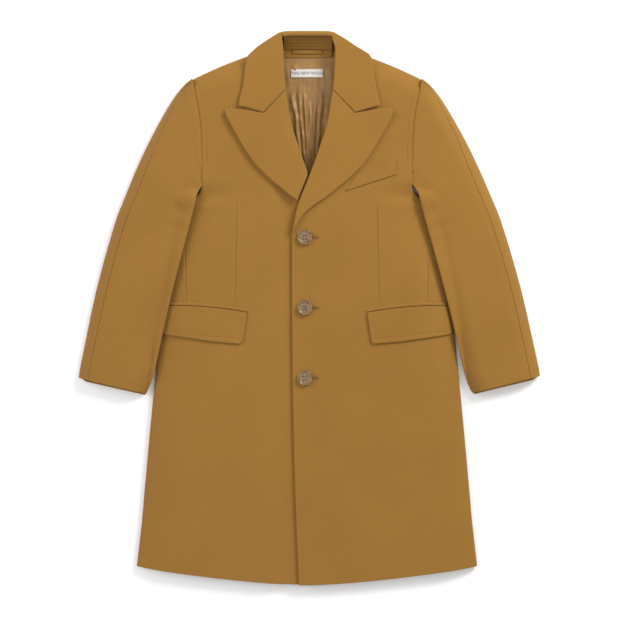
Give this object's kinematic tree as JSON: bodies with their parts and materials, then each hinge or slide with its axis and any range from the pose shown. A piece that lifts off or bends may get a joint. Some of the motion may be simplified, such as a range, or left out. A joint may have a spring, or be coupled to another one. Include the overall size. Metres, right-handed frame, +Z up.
{
  "type": "overcoat",
  "caption": "Knee-length single-breasted wool overcoat with wide peak lapels, flap pockets and horn buttons, fully lined, laid flat and buttoned.",
  "frame": {"origin": "on the surface the coat lies on, under the middle of its box", "axes": "+X to the wearer's left, +Y from hem to collar, +Z up out of the front of the coat, which lies on its back"},
  "size_m": [0.8716, 1.0376, 0.0433],
  "materials": {
    "wool": "camel wool melton, softly napped, fine twill",
    "satin": "satin-weave lining, soft sheen",
    "canvas": "unbleached hair canvas",
    "wadding": "felted wadding",
    "horn": "polished light-brown horn, mottled",
    "thread": "twisted buttonhole thread",
    "label": "woven label"
  },
  "bodies": {
    "coat": {"left_front": "wool", "right_front": "wool", "left_facing": "wool", "right_facing": "wool", "left_back": "wool", "right_back": "wool", "left_pocket_jet": "wool", "right_pocket_jet": "wool", "back_neck_facing": "wool", "collar_stand": "wool", "collar_fall": "wool", "breast_welt": "wool", "right_lapel_end": "wool", "left_front_lining": "satin", "right_front_lining": "satin", "left_pocket_bag": "satin", "right_pocket_bag": "satin", "back_lining": "satin", "breast_pocket_bag": "satin", "left_chest_canvas": "canvas", "right_chest_canvas": "canvas", "left_shoulder_pad": "wadding", "right_shoulder_pad": "wadding", "top_buttonhole_edge": "thread", "middle_buttonhole_edge": "thread", "bottom_buttonhole_edge": "thread", "neck_label": "label"},
    "left_lapel": {"left_lapel": "wool", "left_collar_wing": "wool"},
    "right_lapel": {"right_lapel": "wool", "right_collar_wing": "wool"},
    "left_sleeve": {"left_topsleeve": "wool", "left_undersleeve": "wool", "left_sleeve_lining": "satin", "left_sleeve_head": "wadding"},
    "right_sleeve": {"right_topsleeve": "wool", "right_undersleeve": "wool", "right_sleeve_lining": "satin", "right_sleeve_head": "wadding"},
    "left_flap": {"left_pocket_flap": "wool"},
    "right_flap": {"right_pocket_flap": "wool"},
    "top_button": {"top_button": "horn", "top_button_thread": "thread"},
    "middle_button": {"middle_button": "horn", "middle_button_thread": "thread"},
    "bottom_button": {"bottom_button": "horn", "bottom_button_thread": "thread"},
    "hanger_loop": {"hanger_loop": "wool"},
    "front_corner": {"left_front_corner": "wool", "left_facing_corner": "wool", "left_front_lining_corner": "satin"}
  },
  "joints": [
    {"name": "top_button_turn", "type": "hinge", "parent": "coat", "child": "top_button", "pos_m": [-0.00841, 0.13379, 0.033], "axis": [0, 0, 1], "range_deg": [-90, 90]},
    {"name": "middle_button_turn", "type": "hinge", "parent": "coat", "child": "middle_button", "pos_m": [-0.00841, 0.00229, 0.033], "axis": [0, 0, 1], "range_deg": [-90, 90]},
    {"name": "bottom_button_turn", "type": "hinge", "parent": "coat", "child": "bottom_button", "pos_m": [-0.00841, -0.12921, 0.033], "axis": [0, 0, 1], "range_deg": [-90, 90]},
    {"name": "left_flap_lift", "type": "hinge", "parent": "coat", "child": "left_flap", "pos_m": [0.10759, -0.00721, 0.03435], "axis": [-0.9968, -0.0793, 0], "range_deg": [0, 85]},
    {"name": "right_flap_lift", "type": "hinge", "parent": "coat", "child": "right_flap", "pos_m": [-0.11641, -0.00721, 0.03435], "axis": [-0.9965, 0.083, 0], "range_deg": [0, 85]},
    {"name": "hanger_loop_lift", "type": "hinge", "parent": "coat", "child": "hanger_loop", "pos_m": [-0.00441, 0.48679, 0.0111], "axis": [-1, 0, 0], "range_deg": [0, 95]},
    {"name": "left_lapel_lift", "type": "hinge", "parent": "coat", "child": "left_lapel", "pos_m": [-0.03641, 0.13979, 0.03435], "axis": [-0.2334, -0.9724, -0.0053], "range_deg": [0, 50]},
    {"name": "right_lapel_lift", "type": "hinge", "parent": "coat", "child": "right_lapel", "pos_m": [0.03559, 0.13979, 0.03435], "axis": [-0.2334, 0.9724, 0.0053], "range_deg": [0, 70]},
    {"name": "left_sleeve_swing", "type": "hinge", "parent": "coat", "child": "left_sleeve", "pos_m": [0.21159, 0.42879, 0.015], "axis": [0, 0, 1], "range_deg": [0, 25]},
    {"name": "right_sleeve_swing", "type": "hinge", "parent": "coat", "child": "right_sleeve", "pos_m": [-0.22041, 0.42879, 0.015], "axis": [0, 0, -1], "range_deg": [0, 25]},
    {"name": "front_corner_fold", "type": "hinge", "parent": "coat", "child": "front_corner", "pos_m": [-0.03391, -0.16921, 0.0267], "axis": [-0.5606, 0.828, 0.0136], "range_deg": [0, 150]}
  ]
}
